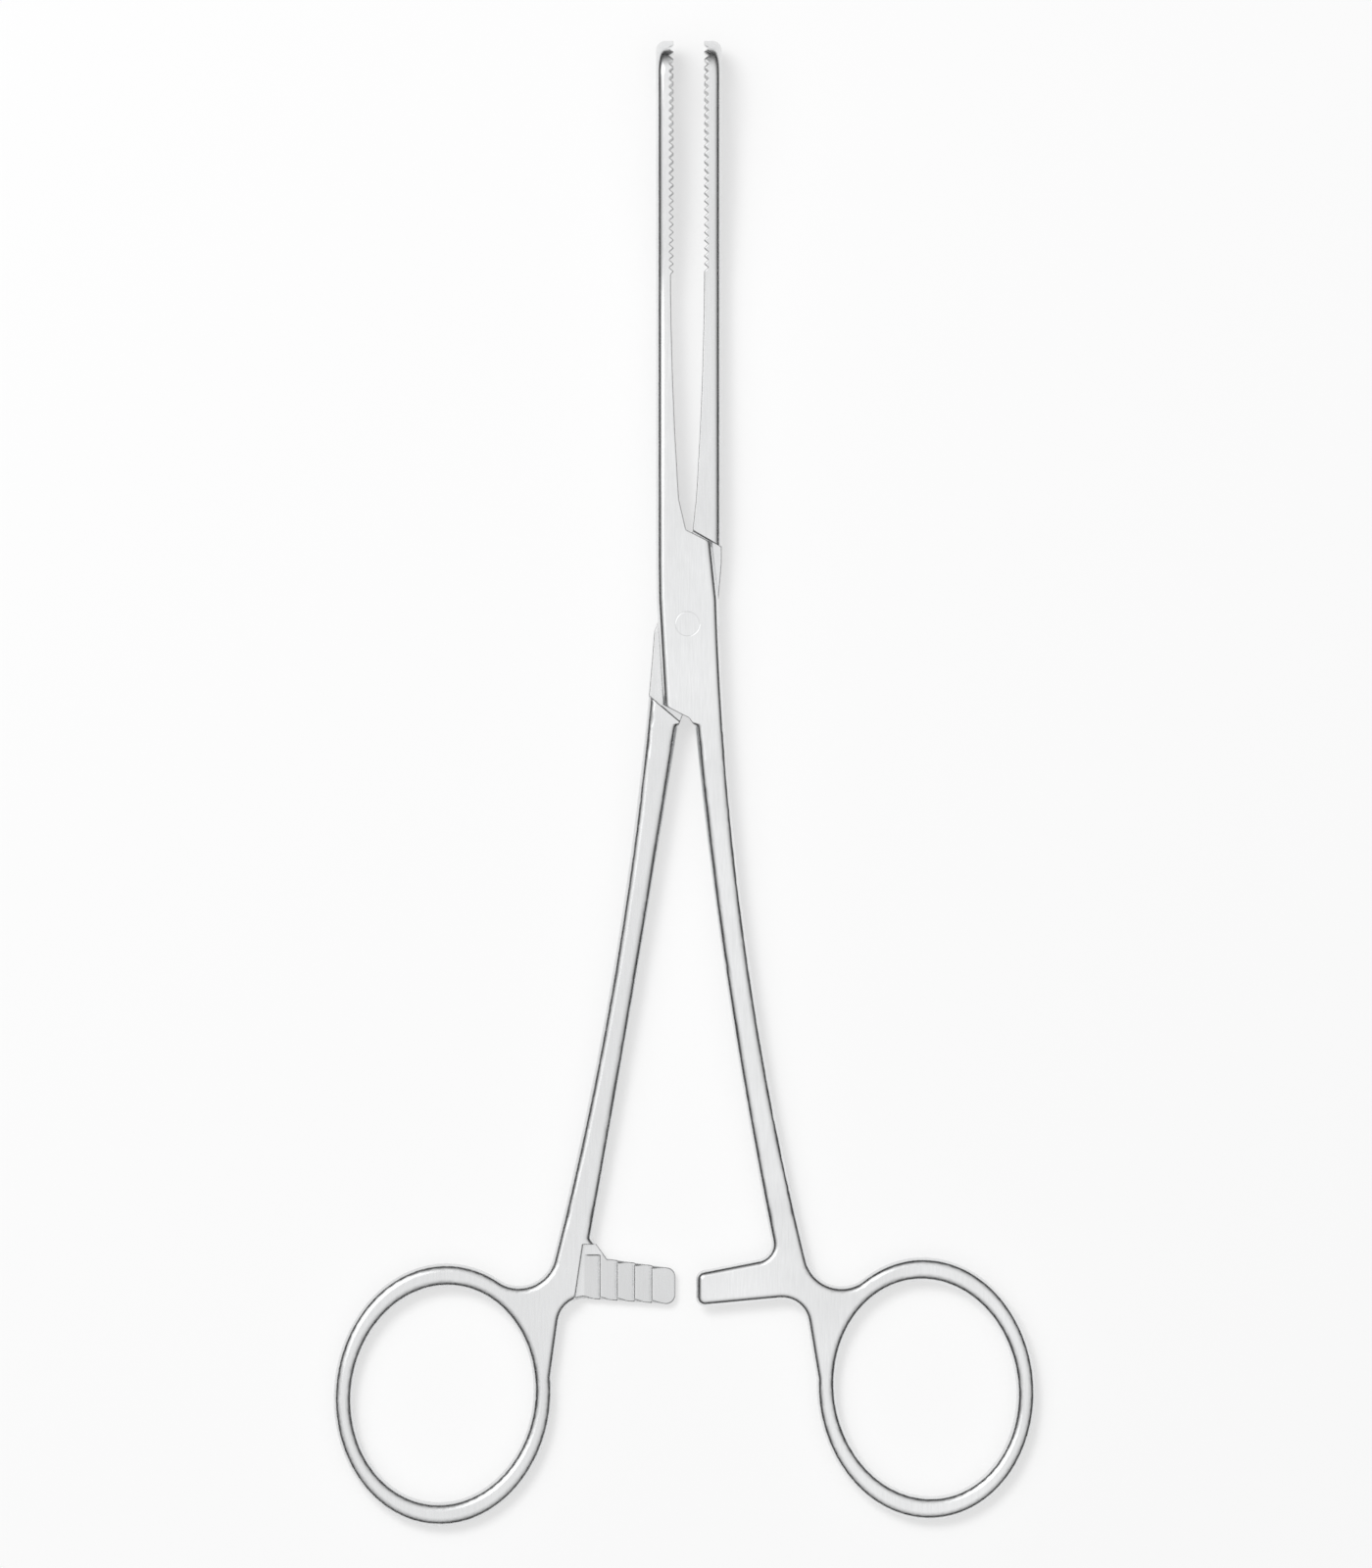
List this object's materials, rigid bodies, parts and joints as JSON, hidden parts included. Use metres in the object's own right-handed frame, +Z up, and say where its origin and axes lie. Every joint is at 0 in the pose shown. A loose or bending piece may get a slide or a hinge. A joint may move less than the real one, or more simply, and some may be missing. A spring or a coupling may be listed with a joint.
{
  "type": "sponge holding forceps",
  "caption": "Straight sponge holding forceps in satin steel, with finger rings, a ratchet catch, a box lock and long serrated jaws with open windows.",
  "frame": {"origin": "on the ground, midway between the jaws' tips and the far end of the finger rings, below the plane through the pivot that parts left from right", "axes": "+Y along the instrument towards the jaws' tips, +X to the right as seen from above with the jaws pointing away, +Z up, nearly along the pivot pin"},
  "size_m": [0.1159, 0.245, 0.0114],
  "materials": {
    "steel": "satin"
  },
  "bodies": {
    "female": {"female_half": "steel", "pivot_pin": "steel"},
    "male": {"male_half": "steel"}
  },
  "joints": [
    {"name": "box_lock_hinge", "type": "hinge", "parent": "female", "child": "male", "pos_m": [0, 0.02645, 0.00429], "axis": [0, 0.0158, -0.9999], "range_deg": [-2.85, 35]}
  ]
}
